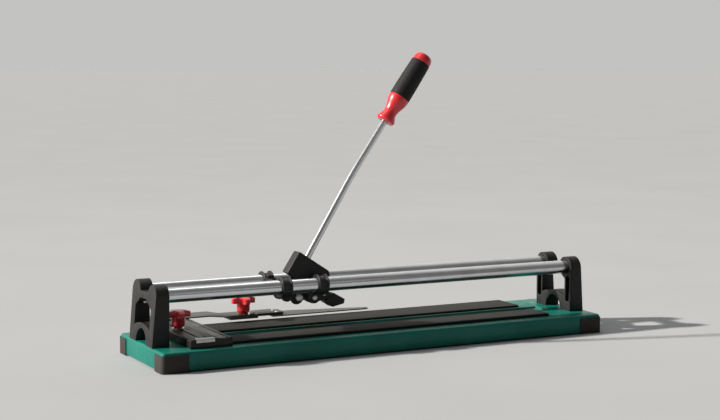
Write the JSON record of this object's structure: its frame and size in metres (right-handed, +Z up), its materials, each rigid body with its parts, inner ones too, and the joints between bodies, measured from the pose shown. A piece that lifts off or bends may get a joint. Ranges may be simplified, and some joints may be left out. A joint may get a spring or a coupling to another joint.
{
  "type": "manual tile cutter",
  "caption": "Manual tile cutter: padded steel bed, twin chrome rails on cast end supports, sliding carriage with a long lever, scoring wheel and presser foot, side fence and angle gauge.",
  "frame": {"origin": "middle of the bed, on the table: the centre of the sole of the rubber foot under the middle of the bed", "axes": "+X along the rails, away from the end with the fence; +Y away from the operator, across the bed; +Z up"},
  "size_m": [0.8736, 0.2528, 0.5209],
  "materials": {
    "green_paint": "powder coat, green",
    "black_casting": "textured black paint on die-cast metal",
    "chrome": "polished chrome plating on steel",
    "zinc": "bright zinc plating",
    "cap_rubber": "moulded dark rubber",
    "pad_rubber": "soft foam rubber, fine grain",
    "black_anodised": "black anodised extrusion",
    "grey_steel": "dark grey steel",
    "red_plastic": "glossy red plastic",
    "grip_rubber": "soft black sleeve",
    "black_plastic": "black nylon",
    "white_plastic": "white plastic"
  },
  "bodies": {
    "frame": {"base_pan": "green_paint", "centre_foot": "cap_rubber", "breaking_ridge": "green_paint", "front_pad": "pad_rubber", "rear_pad": "pad_rubber", "left_support": "black_casting", "right_support": "black_casting", "front_rail": "chrome", "rear_rail": "chrome", "fence_bar": "black_anodised", "fence_scale": "grey_steel", "fence_knob_washer": "zinc", "fence_screw_left": "zinc", "fence_screw_right": "zinc", "corner_cap_front_left": "cap_rubber", "support_screw_front_left": "zinc", "rail_set_screw_front_left": "zinc", "corner_cap_front_right": "cap_rubber", "support_screw_front_right": "zinc", "rail_set_screw_front_right": "zinc", "corner_cap_rear_left": "cap_rubber", "support_screw_rear_left": "zinc", "rail_set_screw_rear_left": "zinc", "corner_cap_rear_right": "cap_rubber", "support_screw_rear_right": "zinc", "rail_set_screw_rear_right": "zinc"},
    "fence_clamp": {"fence_knob": "red_plastic", "fence_stud": "zinc"},
    "gauge_carrier": {"scale_slide": "black_anodised", "slide_end_plate": "zinc", "gauge_arm": "grey_steel", "arm_screw_front": "zinc", "arm_screw_rear": "zinc", "angle_pointer": "white_plastic"},
    "gauge_blade": {"ruler_holder": "grey_steel", "gauge_ruler": "grey_steel", "ruler_rivet_front": "zinc", "ruler_rivet_rear": "zinc"},
    "gauge_clamp": {"gauge_knob": "red_plastic", "gauge_stud": "zinc"},
    "carriage": {"carriage_body": "black_casting", "pivot_pin": "zinc", "bush_front_left": "black_plastic", "bush_front_right": "black_plastic", "bush_rear_left": "black_plastic", "bush_rear_right": "black_plastic"},
    "lever": {"lever_block": "black_casting", "lever_rod": "chrome", "rod_clamp_bolt": "zinc", "wheel_lock_screw": "zinc", "foot_pin": "zinc", "grip_core": "red_plastic", "grip_sleeve": "grip_rubber", "grip_cap": "red_plastic"},
    "wheel_fork": {"wheel_holder": "black_casting", "wheel_axle_bolt": "zinc", "wheel_axle_nut": "zinc"},
    "wheel": {"scoring_wheel": "grey_steel"},
    "foot": {"presser_foot": "black_casting"}
  },
  "joints": [
    {"name": "carriage_slide", "type": "slide", "parent": "frame", "child": "carriage", "axis": [1, 0, 0], "range_m": [-0.155, 0.45]},
    {"name": "lever_hinge", "type": "hinge", "parent": "carriage", "child": "lever", "pos_m": [-0.12, 0, 0.0915], "axis": [0, 1, 0], "range_deg": [-40, 33]},
    {"name": "wheel_height", "type": "slide", "parent": "lever", "child": "wheel_fork", "axis": [-0.5446, 0, -0.8387], "range_m": [0, 0.02]},
    {"name": "wheel_spin", "type": "hinge", "parent": "wheel_fork", "child": "wheel", "pos_m": [-0.14597, 0, 0.09227], "axis": [0, 1, 0], "continuous": true},
    {"name": "foot_hinge", "type": "hinge", "parent": "lever", "child": "foot", "pos_m": [-0.09757, 0, 0.09482], "axis": [0, 1, 0], "range_deg": [-8, 8]},
    {"name": "fence_knob_turn", "type": "hinge", "parent": "frame", "child": "fence_clamp", "pos_m": [-0.3595, 0.022, 0.0505], "axis": [0, 0, 1], "range_deg": [0, 360]},
    {"name": "gauge_slide", "type": "slide", "parent": "frame", "child": "gauge_carrier", "axis": [0, 1, 0], "range_m": [-0.04, 0.08]},
    {"name": "ruler_angle", "type": "hinge", "parent": "gauge_carrier", "child": "gauge_blade", "pos_m": [-0.205, 0.099, 0.046], "axis": [0, 0, 1], "range_deg": [-45, 45]},
    {"name": "gauge_knob_turn", "type": "hinge", "parent": "gauge_carrier", "child": "gauge_clamp", "pos_m": [-0.205, 0.099, 0.052], "axis": [0, 0, 1], "range_deg": [0, 360]}
  ]
}
